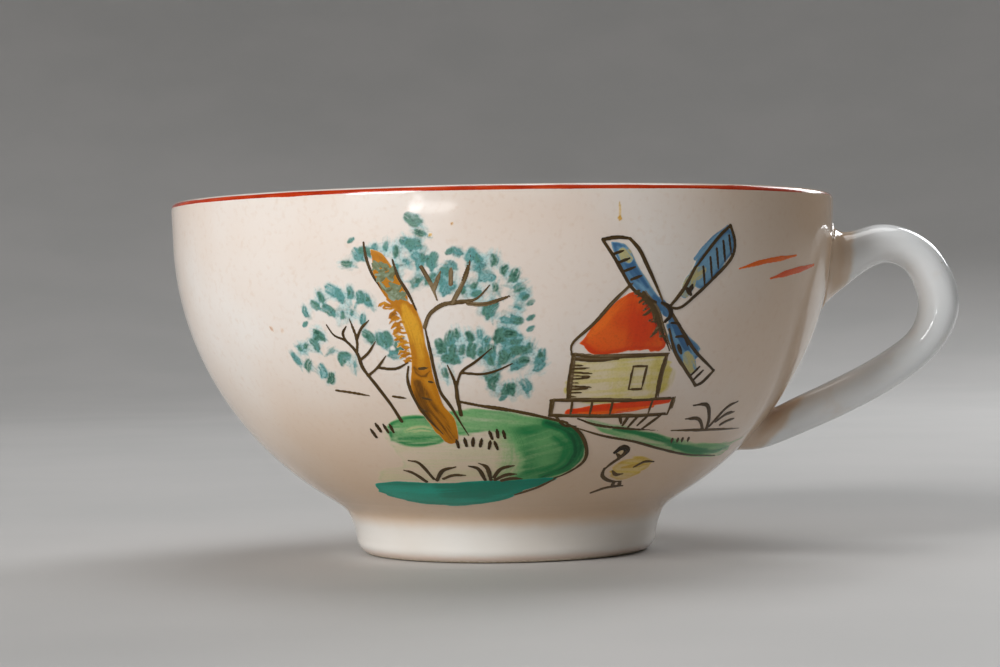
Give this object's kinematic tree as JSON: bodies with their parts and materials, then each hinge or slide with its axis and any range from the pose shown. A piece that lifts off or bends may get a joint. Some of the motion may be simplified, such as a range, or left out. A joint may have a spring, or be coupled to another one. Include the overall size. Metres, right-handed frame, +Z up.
{
  "type": "teacup",
  "caption": "Porcelain teacup with a round bowl, turned foot ring and loop handle; peach lustre glaze with an enamelled tree and windmill scene and a red rim line.",
  "frame": {"origin": "on the bowl's axis, at the level of the foot ring's standing face", "axes": "+Z up along the bowl's axis, +X towards the handle, -Y towards the painted side"},
  "size_m": [0.1132, 0.0952, 0.0505],
  "materials": {
    "peach_lustre_glaze": "pale peach lustre over white, very glossy, thin brown freckles",
    "white_glaze": "clear gloss over a cool white body",
    "joint_slip": "pooled clear glaze over slip, tinted by the lustre",
    "rim_red_enamel": "gloss overglaze enamel, brushed",
    "knoll_green_enamel": "gloss overglaze enamel, streaky",
    "pond_teal_enamel": "gloss overglaze enamel, streaky",
    "trunk_ochre_enamel": "gloss overglaze enamel, streaky",
    "brown_line_enamel": "gloss overglaze enamel line",
    "foliage_teal_enamel": "gloss overglaze enamel dabs with a pale wash round them",
    "roof_orange_enamel": "gloss overglaze enamel, pooled",
    "wall_yellow_enamel": "thin gloss overglaze enamel wash",
    "deck_red_enamel": "gloss overglaze enamel",
    "sail_blue_enamel": "gloss overglaze enamel",
    "slope_green_enamel": "thin gloss overglaze enamel wash",
    "goose_yellow_enamel": "thin gloss overglaze enamel wash",
    "sky_orange_enamel": "gloss overglaze enamel stroke"
  },
  "bodies": {
    "root": {"bowl": "peach_lustre_glaze", "enamel_branches": "brown_line_enamel", "enamel_foliage": "foliage_teal_enamel", "enamel_goose": "goose_yellow_enamel", "enamel_knoll": "knoll_green_enamel", "enamel_mill_deck": "deck_red_enamel", "enamel_mill_roof": "roof_orange_enamel", "enamel_mill_wall": "wall_yellow_enamel", "enamel_pond": "pond_teal_enamel", "enamel_sails": "sail_blue_enamel", "enamel_sky_strokes": "sky_orange_enamel", "enamel_slope": "slope_green_enamel", "enamel_trunk": "trunk_ochre_enamel", "foot_ring": "white_glaze", "handle": "white_glaze", "lower_handle_slip": "joint_slip", "rim_line": "rim_red_enamel", "upper_handle_slip": "joint_slip"}
  },
  "joints": []
}
